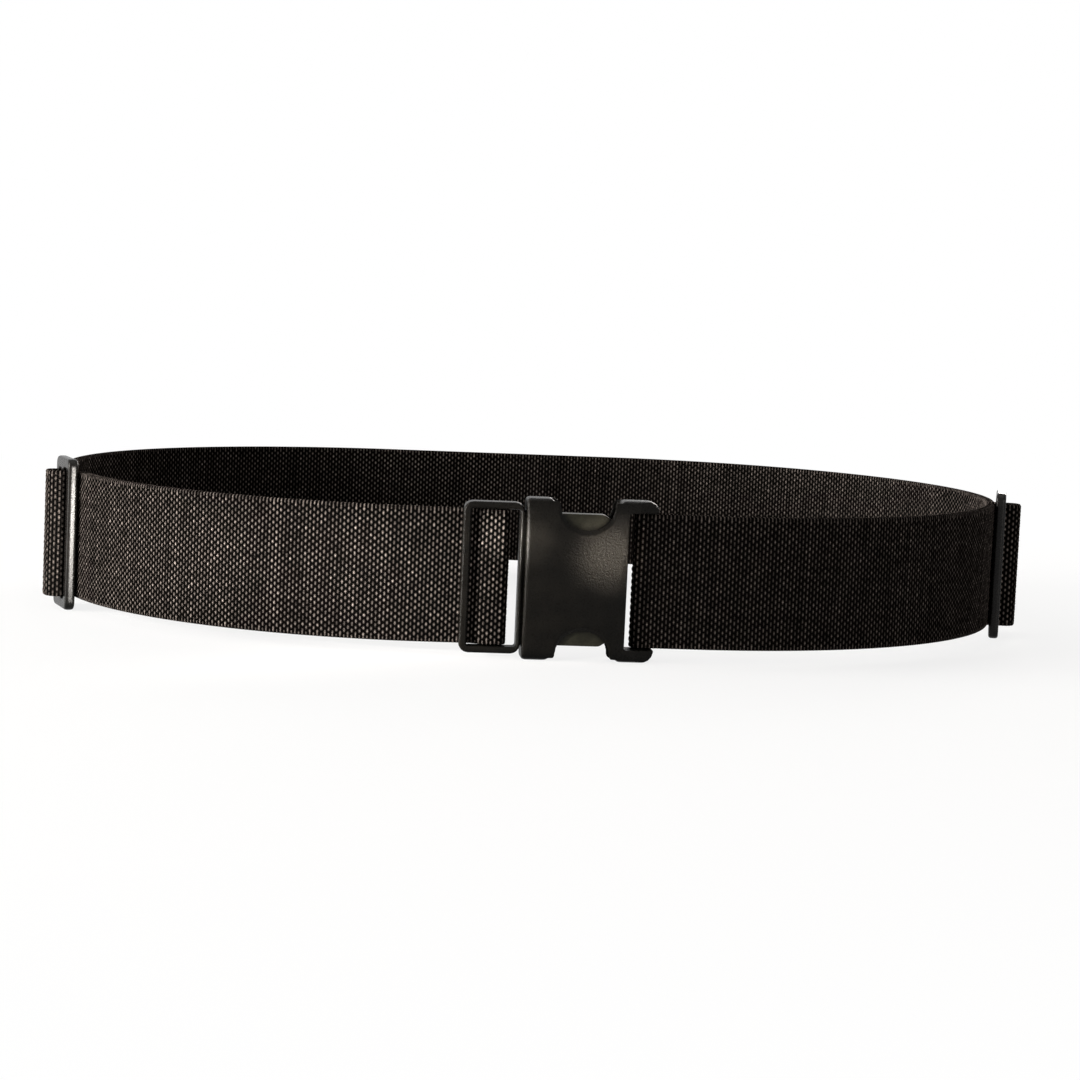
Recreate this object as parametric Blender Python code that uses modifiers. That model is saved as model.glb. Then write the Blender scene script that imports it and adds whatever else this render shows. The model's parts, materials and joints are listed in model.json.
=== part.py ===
"""Waist belt of flat webbing with a side-release buckle in front and a tri-glide slide at each side.

Metres, +Z up. The belt stands on its lower edge in the shape it takes round a waist. The buckle faces -Y
and +X is to the right of someone who looks at it. Along the webbing, "run" is the distance from the middle
of the front and "offset" is the distance outward from the mid-surface of the running strap.
"""

import math

import bmesh
import bpy
from mathutils import Matrix, Vector

# Webbing
WEBBING_WIDTH = 0.050
WEBBING_THICKNESS = 0.0016
BEND_RADIUS = 0.142
TAIL_LENGTH = 0.045
STRAP_EASE = 0.018
FLAT_MARGIN = 0.0019
STRAP_STEP = 0.006
SIDE_CUT_ANGLE = 125

# Clearances
SEAT_GAP = 0.0003
SLOT_SIDE_GAP = 0.0004
RAIL_GAP = 0.0004
MOUTH_GAP = 0.0004
CAVITY_SIDE_GAP = 0.0004
CAVITY_FACE_GAP = 0.0013
SLIDE_SLOT_PLAY = 0.00085
CATCH_TIP_GAP = 0.0015
WINDOW_END_GAP = 0.0011

# Slides
SLIDE_ANGLE = 75
SLIDE_BAR = 0.0045
SLIDE_RAIL = 0.0051
SLIDE_THICKNESS = 0.004
SLIDE_CORNER = 0.003
SLIDE_EDGE_ROUND = 0.0009
HUMP_FILLET = 0.0019
HUMP_FOOT_RUN = 0.00185
HUMP_SLACK = 0.0025

# Both halves of the buckle
HARDWARE_RIM = 0.0046
BAR_WIDTH = 0.0067
BAR_THICKNESS = 0.0036
BUCKLE_MID_OFFSET = 0.0013
MOUTH_X = -0.0176

# Socket
SOCKET_PLATE = 0.0381
SOCKET_SLOT = 0.0047
SOCKET_WALL = 0.0022
SOCKET_SIDE_WALL = 0.0051
SOCKET_END_WALL = 0.0025
SOCKET_EDGE_ROUND = 0.0012
SOCKET_CORNER = 0.0030
CROWN_DROP = 0.0011
ARM_SLOPE_DROP = 0.0043
CAVITY_DEPTH = 0.0086
LATCH_WALL = 0.0106
SCOOP_DEPTH = 0.0135
SCOOP_FLARE = 0.0024
SCOOP_SHOULDER = 0.0025
ARM_END_ROUND = 0.0044

# Plug and its two catches
PLUG_RIM = 0.0026
PLUG_THICKNESS = 0.0068
PLUG_OUTER_RAIL = 0.0029
PLUG_OUTER_SLOT = 0.0063
PLUG_INNER_SLOT = 0.0052
PLUG_INNER_RAIL = 0.0016
PLUG_CORNER = 0.0035
PLUG_EDGE_ROUND = 0.0007
TONGUE_HALF_WIDTH = 0.007
TONGUE_TAPER = 0.002
TONGUE_TIP_GAP = 0.005
CATCH_PIVOT_INSET = 0.0031
CATCH_ROOT_RADIUS = 0.0024
CATCH_ROOT_WRAP = 0.001
CATCH_WIDTH = 0.0085
CATCH_ARM_SPREAD = 40
CATCH_EDGE_ROUND = 0.0004
CATCH_SWING = 12

# Straight pieces in a quarter round, steps in a rounded edge, and the angle past which an edge looks sharp
QUARTER_STEPS = 4
SCOOP_STEPS = 8
EDGE_RESOLUTION = 1
SHARP_ANGLE = 40

# Heights, measured from the middle of the webbing's width
SLOT_HALF = WEBBING_WIDTH / 2 + SLOT_SIDE_GAP
HARDWARE_HALF = SLOT_HALF + HARDWARE_RIM
PLUG_HALF = SLOT_HALF + PLUG_RIM
CAVITY_HALF = HARDWARE_HALF - SOCKET_SIDE_WALL
INSERT_HALF = CAVITY_HALF - CAVITY_SIDE_GAP
MID_HEIGHT = HARDWARE_HALF

# Offsets, measured outward from the mid-surface of the running strap
HALF_THICKNESS = WEBBING_THICKNESS / 2
LAYER_PITCH = WEBBING_THICKNESS + SEAT_GAP
BAR_WRAP_RADIUS = BAR_THICKNESS / 2 + SEAT_GAP + HALF_THICKNESS
CAVITY_FRONT = BUCKLE_MID_OFFSET + CAVITY_DEPTH / 2
CAVITY_BACK = BUCKLE_MID_OFFSET - CAVITY_DEPTH / 2
SOCKET_FRONT = CAVITY_FRONT + SOCKET_WALL
SOCKET_BACK = CAVITY_BACK - SOCKET_WALL
SOCKET_BAR_OFFSET = -BAR_WRAP_RADIUS
PLUG_FRONT = BUCKLE_MID_OFFSET + PLUG_THICKNESS / 2
PLUG_BACK = BUCKLE_MID_OFFSET - PLUG_THICKNESS / 2
PLUG_BAR_OFFSET = PLUG_BACK + BAR_THICKNESS / 2
PLUG_RAIL_BACK = HALF_THICKNESS + RAIL_GAP
INSERT_DEPTH = CAVITY_DEPTH - 2 * CAVITY_FACE_GAP

# Places along X, from the outer rail of the plug to the outer bar of the socket
PLUG_RIGHT = MOUTH_X - MOUTH_GAP
PLUG_WINDOW_RIGHT = PLUG_RIGHT - PLUG_INNER_RAIL
PLUG_BAR_RIGHT = PLUG_WINDOW_RIGHT - PLUG_INNER_SLOT
PLUG_BAR_LEFT = PLUG_BAR_RIGHT - BAR_WIDTH
PLUG_WINDOW_LEFT = PLUG_BAR_LEFT - PLUG_OUTER_SLOT
PLUG_LEFT = PLUG_WINDOW_LEFT - PLUG_OUTER_RAIL
SOCKET_SLOT_LEFT = MOUTH_X + SOCKET_PLATE
SOCKET_BAR_LEFT = SOCKET_SLOT_LEFT + SOCKET_SLOT
SOCKET_RIGHT = SOCKET_BAR_LEFT + BAR_WIDTH
CAVITY_END = SOCKET_SLOT_LEFT - SOCKET_END_WALL
WINDOW_LEFT = MOUTH_X + LATCH_WALL
WINDOW_RIGHT = CAVITY_END - WINDOW_END_GAP
SCOOP_HALF_LENGTH = (WINDOW_RIGHT - WINDOW_LEFT) / 2
SCOOP_X = (WINDOW_RIGHT + WINDOW_LEFT) / 2
PIVOT_X = MOUTH_X + CATCH_PIVOT_INSET
PIVOT_HEIGHT = INSERT_HALF - CATCH_WIDTH
CATCH_LENGTH = CAVITY_END - CATCH_TIP_GAP - PIVOT_X
SHOULDER_RIGHT = PIVOT_X + CATCH_ROOT_WRAP

# The loop of the waist: straight in front and behind, half round at the sides
FLAT_HALF = max(-PLUG_BAR_LEFT, SOCKET_RIGHT) - BAR_THICKNESS / 2 + STRAP_EASE + FLAT_MARGIN
BEND_RUN = math.pi * BEND_RADIUS
HALF_LOOP = 2 * FLAT_HALF + BEND_RUN
RING_Y = (SOCKET_FRONT - HALF_THICKNESS) / 2
FRONT_Y = RING_Y - BEND_RADIUS
SLIDE_RUN = FLAT_HALF + BEND_RADIUS * math.radians(SLIDE_ANGLE)
SIDE_CUT_RUN = FLAT_HALF + BEND_RADIUS * math.radians(SIDE_CUT_ANGLE)

# Where the two layers of webbing pass over the bar of a slide
SLIDE_BACK = HALF_THICKNESS + SEAT_GAP
SLIDE_FRONT = SLIDE_BACK + SLIDE_THICKNESS
TAIL_RISE = SLIDE_BAR / 2 + SEAT_GAP + HALF_THICKNESS
RUNNING_RISE = TAIL_RISE + LAYER_PITCH
SLIDE_SLOT_END = RUNNING_RISE + HALF_THICKNESS + SLIDE_SLOT_PLAY
SLIDE_HALF_LENGTH = SLIDE_SLOT_END + SLIDE_RAIL
HUMP_CREST_RUN = SLIDE_BAR / 2 - SLIDE_EDGE_ROUND
HUMP_CREST_OFFSET = SLIDE_FRONT - SLIDE_EDGE_ROUND + HUMP_SLACK
HUMP_FILLET_RUN = RUNNING_RISE + HUMP_FILLET
HUMP_FOOT = HUMP_FILLET_RUN + HUMP_FOOT_RUN

# A cutter reaches this far past the solid that it cuts, and leaves a round at this angle to the edge there
REACH = 0.003
LEAVE_ANGLE = 10
FACING_FRONT = (math.pi / 2, 0, 0)
LENGTHWISE = Matrix(((0, 0, 1), (1, 0, 0), (0, 1, 0))).to_4x4()
UPRIGHT = Matrix(((1, 0, 0), (0, 0, -1), (0, 1, 0))).to_4x4()


def clear_scene():
    """Remove every object that is already in the scene."""
    for obj in list(bpy.data.objects):
        bpy.data.objects.remove(obj, do_unlink=True)


def new_collection(name):
    """A collection of the scene that holds one kind of object."""
    collection = bpy.data.collections.new(name)
    bpy.context.scene.collection.children.link(collection)
    return collection


def principled(name, color, roughness):
    """A material with one colour and one roughness."""
    material = bpy.data.materials.new(name)
    material.use_nodes = True
    shader = material.node_tree.nodes["Principled BSDF"]
    shader.inputs["Base Color"].default_value = (*color, 1)
    shader.inputs["Roughness"].default_value = roughness
    return material


def spread(first, last, count):
    """Evenly spaced values from first to last, both included."""
    return [first + (last - first) * i / count for i in range(count + 1)]


def arc(center, radius, start, end):
    """Points on a circular arc from one angle to another, in degrees."""
    count = max(2, round(abs(end - start) / 90 * QUARTER_STEPS))
    angles = [math.radians(a) for a in spread(start, end, count)]
    return [(center[0] + radius * math.cos(a), center[1] + radius * math.sin(a)) for a in angles]


def rounded(corners):
    """A closed outline, counterclockwise, through (x, y, radius) corners with an arc at each that has a radius."""
    points = []
    for i, (x, y, radius) in enumerate(corners):
        if not radius:
            points.append((x, y))
            continue
        here = Vector((x, y))
        back = (Vector(corners[i - 1][:2]) - here).normalized()
        ahead = (Vector(corners[(i + 1) % len(corners)][:2]) - here).normalized()
        half = math.acos(max(-1, min(1, back.dot(ahead)))) / 2
        center = here + (back + ahead).normalized() * radius / math.sin(half)
        start = here + back * radius / math.tan(half) - center
        end = here + ahead * radius / math.tan(half) - center
        turn = start.angle_signed(end)
        first = math.atan2(start.y, start.x)
        points += [
            (center.x + radius * math.cos(first - a), center.y + radius * math.sin(first - a))
            for a in spread(0, turn, QUARTER_STEPS)
        ]
    return points


def rectangle(left, right, low, high, radius):
    """A rectangle with rounded corners, as a closed outline."""
    return rounded([(left, low, radius), (right, low, radius), (right, high, radius), (left, high, radius)])


def prism(name, loops, half_depth, collection, turn=Matrix.Identity(4), edge_round=0):
    """A solid of one outline, with any holes in it, extruded both ways from its plane and then turned.

    With an edge round, the edges of both faces are rounded inside the outline.
    """
    curve = bpy.data.curves.new(name, "CURVE")
    curve.dimensions = "2D"
    curve.fill_mode = "BOTH"
    curve.extrude = half_depth - edge_round
    curve.bevel_depth = edge_round
    curve.bevel_resolution = EDGE_RESOLUTION
    curve.offset = -edge_round
    for loop in loops:
        spline = curve.splines.new("POLY")
        spline.points.add(len(loop) - 1)
        spline.use_cyclic_u = True
        for point, (x, y) in zip(spline.points, loop):
            point.co = (x, y, 0, 1)
    guide = bpy.data.objects.new(name + "_outline", curve)
    bpy.context.scene.collection.objects.link(guide)
    graph = bpy.context.evaluated_depsgraph_get()
    mesh = bpy.data.meshes.new_from_object(guide.evaluated_get(graph))
    bpy.data.objects.remove(guide)
    return solid_from(name, mesh, collection, turn)


def solid_from(name, mesh, collection, turn):
    """An object made of a mesh whose caps are welded to its sides."""
    shape = bmesh.new()
    shape.from_mesh(mesh)
    bmesh.ops.remove_doubles(shape, verts=shape.verts, dist=1e-6)
    bmesh.ops.transform(shape, matrix=turn, verts=shape.verts)
    bmesh.ops.recalc_face_normals(shape, faces=shape.faces)
    shape.to_mesh(mesh)
    shape.free()
    mesh.name = name
    mesh.shade_smooth()
    mesh.set_sharp_from_angle(angle=math.radians(SHARP_ANGLE))
    obj = bpy.data.objects.new(name, mesh)
    collection.objects.link(obj)
    return obj


def block(name, low, high, collection):
    """A box between two corners."""
    size = Vector(high) - Vector(low)
    middle = (Vector(high) + Vector(low)) / 2
    shape = bmesh.new()
    bmesh.ops.create_cube(shape, size=1, matrix=Matrix.Translation(middle) @ Matrix.Diagonal((*size, 1)))
    mesh = bpy.data.meshes.new(name)
    shape.to_mesh(mesh)
    shape.free()
    obj = bpy.data.objects.new(name, mesh)
    collection.objects.link(obj)
    return obj


def flared(name, outline, center, low, high, low_scale, high_scale, collection):
    """A solid between two depths whose outline is scaled about a centre, by one share at each depth."""
    shape = bmesh.new()
    verts = [shape.verts.new((x, y, low)) for x, y in outline]
    face = shape.faces.new(verts)
    raised = bmesh.ops.extrude_face_region(shape, geom=[face])["geom"]
    lifted = [item for item in raised if isinstance(item, bmesh.types.BMVert)]
    bmesh.ops.translate(shape, vec=(0, 0, high - low), verts=lifted)
    middle = Matrix.Translation((-center[0], -center[1], 0))
    bmesh.ops.scale(shape, vec=(low_scale, low_scale, 1), space=middle, verts=verts)
    bmesh.ops.scale(shape, vec=(high_scale, high_scale, 1), space=middle, verts=lifted)
    bmesh.ops.recalc_face_normals(shape, faces=shape.faces)
    mesh = bpy.data.meshes.new(name)
    shape.to_mesh(mesh)
    shape.free()
    obj = bpy.data.objects.new(name, mesh)
    collection.objects.link(obj)
    return obj


def combine(obj, helper, operation):
    """Cut a helper out of a solid, or join it on. The helper stays as a hidden wire."""
    modifier = obj.modifiers.new(helper.name, "BOOLEAN")
    modifier.operation = operation
    modifier.solver = "EXACT"
    modifier.object = helper
    helper.hide_render = True
    helper.display_type = "WIRE"


def place(obj, location, rotation=(0, 0, 0), parent=None):
    """Put an object at a place in the world, carried by a parent that isn't turned."""
    obj.parent = parent
    obj.location = Vector(location) - (parent_place(parent) if parent else Vector())
    obj.rotation_euler = rotation


def parent_place(parent):
    """World place of a pivot, through the pivots that carry it."""
    return Vector(parent.location) + (parent_place(parent.parent) if parent.parent else Vector())


def pivot(name, location, collection, parent=None):
    """An empty on a joint's axis."""
    empty = bpy.data.objects.new(name, None)
    empty.empty_display_size = 0.01
    collection.objects.link(empty)
    place(empty, location, parent=parent)
    return empty


def ring_point(side, run, offset):
    """Plan position at a run along one side of the loop, from the middle of the front to that of the back."""
    radius = BEND_RADIUS + offset
    turned = min(max(run - FLAT_HALF, 0), BEND_RUN) / BEND_RADIUS
    straight = min(run, FLAT_HALF) - max(run - FLAT_HALF - BEND_RUN, 0)
    x = straight + radius * math.sin(turned)
    y = RING_Y - radius * math.cos(turned)
    return (side * x, y)


def along(start, end, offset):
    """Evenly spaced (run, offset) places at one offset."""
    count = max(1, round(abs(end - start) / STRAP_STEP))
    return [(run, offset) for run in spread(start, end, count)]


def ease(start, end, start_offset, end_offset):
    """Places along a smooth change of offset."""
    shares = spread(0, 1, 2 * QUARTER_STEPS)
    rise = end_offset - start_offset
    return [(start + (end - start) * t, start_offset + rise * t * t * (3 - 2 * t)) for t in shares]


def without_repeats(places):
    """The places in order, with those left out that repeat the one before."""
    kept = places[:1]
    for run, offset in places[1:]:
        if math.dist((run, offset), kept[-1]) > 1e-6:
            kept.append((run, offset))
    return kept


def webbing(name, plan, material, collection, parent=None):
    """A strip of webbing that stands on edge along a plan line: an open ribbon made thick."""
    shape = bmesh.new()
    verts = [shape.verts.new((x, y, -WEBBING_WIDTH / 2)) for x, y in plan]
    edges = [shape.edges.new(pair) for pair in zip(verts, verts[1:])]
    raised = bmesh.ops.extrude_edge_only(shape, edges=edges)["geom"]
    lifted = [item for item in raised if isinstance(item, bmesh.types.BMVert)]
    bmesh.ops.translate(shape, vec=(0, 0, WEBBING_WIDTH), verts=lifted)
    bmesh.ops.recalc_face_normals(shape, faces=shape.faces)
    mesh = bpy.data.meshes.new(name)
    shape.to_mesh(mesh)
    shape.free()
    mesh.shade_smooth()
    obj = bpy.data.objects.new(name, mesh)
    collection.objects.link(obj)
    thick = obj.modifiers.new("thickness", "SOLIDIFY")
    thick.thickness = WEBBING_THICKNESS
    thick.offset = 0
    thick.use_even_offset = True
    thick.use_quality_normals = True
    obj.data.materials.append(material)
    if parent:
        shift = Matrix.Translation(-parent_place(parent) * Vector((1, 1, 0)))
        mesh.transform(shift)
    place(obj, Vector((0, 0, MID_HEIGHT)) + flat_place(parent), parent=parent)
    return obj


def flat_place(parent):
    """Plan place of a pivot, at height zero."""
    return parent_place(parent) * Vector((1, 1, 0)) if parent else Vector()


def strip(name, side, places, material, collection, parent=None):
    """Webbing along (run, offset) places on one side of the loop."""
    plan = [ring_point(side, run, offset) for run, offset in without_repeats(places)]
    return webbing(name, plan, material, collection, parent)


def front_places(bar_near, bar_far, bar_offset, lift_run):
    """From the slide to the buckle, round its bar and back to the slide as the inner layer."""
    foot = SLIDE_RUN - HUMP_FOOT - SEAT_GAP / 2
    near_center = bar_near + BAR_THICKNESS / 2
    far_center = bar_far - BAR_THICKNESS / 2
    over_bar = bar_offset + BAR_WRAP_RADIUS
    under_bar = bar_offset - BAR_WRAP_RADIUS
    settled = far_center + STRAP_EASE
    return (
        along(foot, lift_run, 0)
        + ease(lift_run, far_center, 0, over_bar)
        + arc((near_center, bar_offset), BAR_WRAP_RADIUS, 90, 270)
        + ease(far_center, settled, under_bar, -LAYER_PITCH)
        + along(settled, foot, -LAYER_PITCH)
    )


def hump_places(layer):
    """Over the bar of a slide: layer 0 is the tail that lies on the bar, layer 1 the running strap over it."""
    base = (layer - 1) * LAYER_PITCH
    crest_radius = SLIDE_EDGE_ROUND + SEAT_GAP + HALF_THICKNESS + layer * LAYER_PITCH
    fillet_radius = HUMP_FILLET + (1 - layer) * LAYER_PITCH
    fillet_offset = HUMP_FILLET
    rise = arc((-HUMP_FILLET_RUN, fillet_offset), fillet_radius, 270, 360)
    crest = arc((-HUMP_CREST_RUN, HUMP_CREST_OFFSET), crest_radius, 180, 90)
    front_half = [(-HUMP_FOOT, base)] + rise + crest
    rear_half = [(-u, w) for u, w in reversed(front_half)]
    return [(SLIDE_RUN + u, w) for u, w in front_half + rear_half]


def make_front_webbing(material, collection, plug_pivot):
    """The doubled strap between each slide and its half of the buckle."""
    left = front_places(-PLUG_BAR_RIGHT, -PLUG_BAR_LEFT, PLUG_BAR_OFFSET, -PLUG_WINDOW_LEFT - RAIL_GAP)
    strip("left_front_webbing", -1, left, material, collection, plug_pivot)
    socket_lift = SOCKET_RIGHT + SOCKET_SLOT
    right = front_places(SOCKET_BAR_LEFT, SOCKET_RIGHT, SOCKET_BAR_OFFSET, socket_lift)
    strip("right_front_webbing", 1, right, material, collection)


def make_slide_webbing(side, label, material, collection, parent):
    """The running strap over a slide's bar, and the tail that passes under it and ends inside the belt."""
    strip(label + "_hump_webbing", side, hump_places(1), material, collection, parent)
    rear_foot = SLIDE_RUN + HUMP_FOOT
    tail = hump_places(0) + along(rear_foot, rear_foot + TAIL_LENGTH, -LAYER_PITCH)
    strip(label + "_tail_webbing", side, tail, material, collection, parent)


def make_back_webbing(material, collection):
    """The single strap round the sides and the back of the waist, in two lengths."""
    rear_foot = SLIDE_RUN + HUMP_FOOT + SEAT_GAP / 2
    strip("left_side_webbing", -1, along(rear_foot, SIDE_CUT_RUN - SEAT_GAP / 2, 0), material, collection)
    right = [ring_point(1, run, offset) for run, offset in along(rear_foot, HALF_LOOP, 0)]
    left = [ring_point(-1, run, offset) for run, offset in along(HALF_LOOP, SIDE_CUT_RUN + SEAT_GAP / 2, 0)]
    webbing("back_webbing", right + left[1:], material, collection)


def make_slide(side, label, material, collection, slide_pivot):
    """A tri-glide: a flat plate with two long slots and a bar between them, square to the strap."""
    outer = rectangle(
        -SLIDE_HALF_LENGTH, SLIDE_HALF_LENGTH, -HARDWARE_HALF, HARDWARE_HALF, SLIDE_CORNER
    )
    slots = [
        rectangle(left, right, -SLOT_HALF, SLOT_HALF, SLIDE_EDGE_ROUND)
        for left, right in ((-SLIDE_SLOT_END, -SLIDE_BAR / 2), (SLIDE_BAR / 2, SLIDE_SLOT_END))
    ]
    name = label + "_slide"
    slide = prism(name, [outer] + slots, SLIDE_THICKNESS / 2, collection, edge_round=SLIDE_EDGE_ROUND)
    slide.data.materials.append(material)
    x, y = ring_point(side, SLIDE_RUN, (SLIDE_BACK + SLIDE_FRONT) / 2)
    place(slide, (x, y, MID_HEIGHT), (math.pi / 2, 0, side * math.radians(SLIDE_ANGLE)), slide_pivot)


def on_buckle(obj, parent=None, x=0, height=0):
    """Place a piece that was drawn in the buckle's own frame: x, height and outward offset."""
    place(obj, (x, FRONT_Y, MID_HEIGHT + height), FACING_FRONT, parent)


def webbing_bar(name, left, right, offset, collection):
    """A full-round bar that the webbing loops over, let into the material at both ends."""
    radius = BAR_THICKNESS / 2
    outline = arc((right - radius, offset), radius, -90, 90) + arc((left + radius, offset), radius, 90, 270)
    seat = min(HARDWARE_RIM, PLUG_RIM) / 2
    return prism(name, [outline], SLOT_HALF + seat, collection, UPRIGHT)


def socket_section():
    """Height and offset outline of the socket: flat back, crowned front and rounded edges."""
    edge = HARDWARE_HALF - SOCKET_CORNER
    shoulder = SOCKET_FRONT - CROWN_DROP
    crown = [(h, SOCKET_FRONT - CROWN_DROP * (h / edge) ** 2) for h in spread(edge, -edge, 10)]
    return (
        arc((edge, SOCKET_BACK + SOCKET_CORNER), SOCKET_CORNER, -90, 0)
        + arc((edge, shoulder - SOCKET_CORNER), SOCKET_CORNER, 0, 90)[:-1]
        + crown
        + arc((-edge, shoulder - SOCKET_CORNER), SOCKET_CORNER, 90, 180)[1:]
        + arc((-edge, SOCKET_BACK + SOCKET_CORNER), SOCKET_CORNER, 180, 270)
    )


def socket_cutters(collection):
    """What is cut from the socket: its cavity and windows, the strap gap and the slope to the bar."""
    slope_start = CAVITY_END
    fall = ARM_SLOPE_DROP / (SOCKET_RIGHT - slope_start)
    before = slope_start - REACH
    past = SOCKET_RIGHT + REACH
    slope = [
        (before, SOCKET_FRONT + REACH * fall),
        (past, SOCKET_FRONT - (past - slope_start) * fall),
        (past, SOCKET_FRONT + 2 * REACH),
        (before, SOCKET_FRONT + 2 * REACH),
    ]
    return [
        flared("plug_cavity", cavity_outline(), (SCOOP_X, 0), CAVITY_BACK, CAVITY_FRONT, 1, 1, collection),
        block(
            "strap_gap",
            (SOCKET_SLOT_LEFT, -SLOT_HALF, SOCKET_BACK - REACH),
            (SOCKET_RIGHT + REACH, SLOT_HALF, SOCKET_FRONT + REACH),
            collection,
        ),
        prism("arm_slope", [slope], HARDWARE_HALF + REACH, collection, UPRIGHT),
    ]


def leave_point(point):
    """Where a cutter that leaves a round at a point, at its small angle, has passed the socket's upper edge."""
    x, height = point
    past = HARDWARE_HALF + REACH
    return (x - (past - height) / math.tan(math.radians(LEAVE_ANGLE)), past)


def left_shoulder(side):
    """The round by which the upper edge of the socket turns down into an opening, whose left side is given."""
    center = (side - SCOOP_SHOULDER, HARDWARE_HALF - SCOOP_SHOULDER)
    turn = arc(center, SCOOP_SHOULDER, 90 - LEAVE_ANGLE, 0)
    return [leave_point(turn[0])] + turn


def cavity_outline():
    """The cavity, open at the mouth, with a window at both edges between round shoulders."""
    shoulder = [(SCOOP_X + x, height) for x, height in reversed(left_shoulder(-SCOOP_HALF_LENGTH))]
    window = [(WINDOW_LEFT, CAVITY_HALF)] + shoulder
    window += [(2 * SCOOP_X - x, height) for x, height in reversed(window)]
    upper = [(MOUTH_X - REACH, CAVITY_HALF)] + window + [(CAVITY_END, CAVITY_HALF)]
    return upper + [(x, -height) for x, height in reversed(upper)]


def scoop_outline():
    """The upper thumb scoop where it is narrowest: round shoulders and a half ellipse between them."""
    half_length = SCOOP_HALF_LENGTH - SCOOP_FLARE
    depth = SCOOP_DEPTH * half_length / SCOOP_HALF_LENGTH
    level = HARDWARE_HALF - SCOOP_SHOULDER
    fall = depth - SCOOP_SHOULDER
    floor = [
        (-half_length * math.cos(a), level - fall * math.sin(a))
        for a in spread(0, math.pi / 2, SCOOP_STEPS)
    ]
    left = left_shoulder(-half_length) + floor[1:]
    right = [(-x, height) for x, height in reversed(left[:-1])]
    return [(SCOOP_X + x, height) for x, height in left + right]


def scoop_cutters(collection):
    """The thumb scoops at both edges, flared from just inside the cavity towards the front and the back."""
    narrow = SCOOP_HALF_LENGTH - SCOOP_FLARE
    wide = 1 + SCOOP_FLARE * (1 + REACH / (SOCKET_WALL + SEAT_GAP)) / narrow
    faces = (
        ("front", CAVITY_FRONT - SEAT_GAP, SOCKET_FRONT + REACH, 1, wide),
        ("back", SOCKET_BACK - REACH, CAVITY_BACK + SEAT_GAP, wide, 1),
    )
    cutters = []
    for label, sign in (("upper", 1), ("lower", -1)):
        outline = [(x, sign * height) for x, height in scoop_outline()]
        center = (SCOOP_X, sign * HARDWARE_HALF)
        for face, *depths_and_scales in faces:
            name = label + "_scoop_" + face
            cutters.append(flared(name, outline, center, *depths_and_scales, collection))
    return cutters


def arm_end_cutters(collection):
    """What rounds the free end of each arm, beside the bar."""
    center = (SOCKET_RIGHT - ARM_END_ROUND, HARDWARE_HALF - ARM_END_ROUND)
    turn = arc(center, ARM_END_ROUND, 90 - LEAVE_ANGLE, LEAVE_ANGLE)
    past = SOCKET_RIGHT + REACH
    low = turn[-1][1] - (past - turn[-1][0]) / math.tan(math.radians(LEAVE_ANGLE))
    upper = [leave_point(turn[0])] + turn + [(past, low), (past, HARDWARE_HALF + REACH)]
    half_depth = SOCKET_FRONT - SOCKET_BACK + REACH
    return [
        prism(label + "_arm_end", [[(x, sign * height) for x, height in upper]], half_depth, collection)
        for label, sign in (("upper", 1), ("lower", -1))
    ]


def make_socket(material, collection, cutters):
    """The half that takes the plug: a crowned shell with scoops for finger and thumb, and a bar for webbing."""
    half_length = (SOCKET_RIGHT - MOUTH_X) / 2
    shift = Matrix.Translation((MOUTH_X + half_length, 0, 0))
    turn = shift @ LENGTHWISE
    socket = prism("buckle_socket", [socket_section()], half_length, collection, turn, SOCKET_EDGE_ROUND)
    for cutter in socket_cutters(cutters) + scoop_cutters(cutters):
        on_buckle(cutter)
        combine(socket, cutter, "DIFFERENCE")
    bar = webbing_bar("socket_bar", SOCKET_BAR_LEFT, SOCKET_RIGHT, SOCKET_BAR_OFFSET, cutters)
    on_buckle(bar)
    combine(socket, bar, "UNION")
    for cutter in arm_end_cutters(cutters):
        on_buckle(cutter)
        combine(socket, cutter, "DIFFERENCE")
    socket.data.materials.append(material)
    on_buckle(socket)


def catch_seat(sign):
    """The round seat of a catch in the front edge of the shoulder, from its lower end to its upper end."""
    radius = CATCH_ROOT_RADIUS + SEAT_GAP
    edge = math.degrees(math.acos(CATCH_ROOT_WRAP / radius))
    seat = arc((PIVOT_X, sign * PIVOT_HEIGHT), radius, -edge, edge - 360)
    return [(x, y, 0) for x, y in seat]


def plug_tongue():
    """Outline of the shoulder that enters the socket, with a seat for each catch and a tongue that guides it."""
    tip = CAVITY_END - TONGUE_TIP_GAP
    slim = TONGUE_HALF_WIDTH - TONGUE_TAPER
    lower_half = [
        (PLUG_WINDOW_RIGHT, -INSERT_HALF, 0),
        (SHOULDER_RIGHT, -INSERT_HALF, CATCH_ROOT_WRAP),
        *catch_seat(-1),
        (SHOULDER_RIGHT, -TONGUE_HALF_WIDTH, TONGUE_TAPER),
        (tip, -slim, slim / 2),
    ]
    upper_half = [(x, -y, radius) for x, y, radius in reversed(lower_half)]
    return rounded(lower_half + upper_half)


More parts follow.
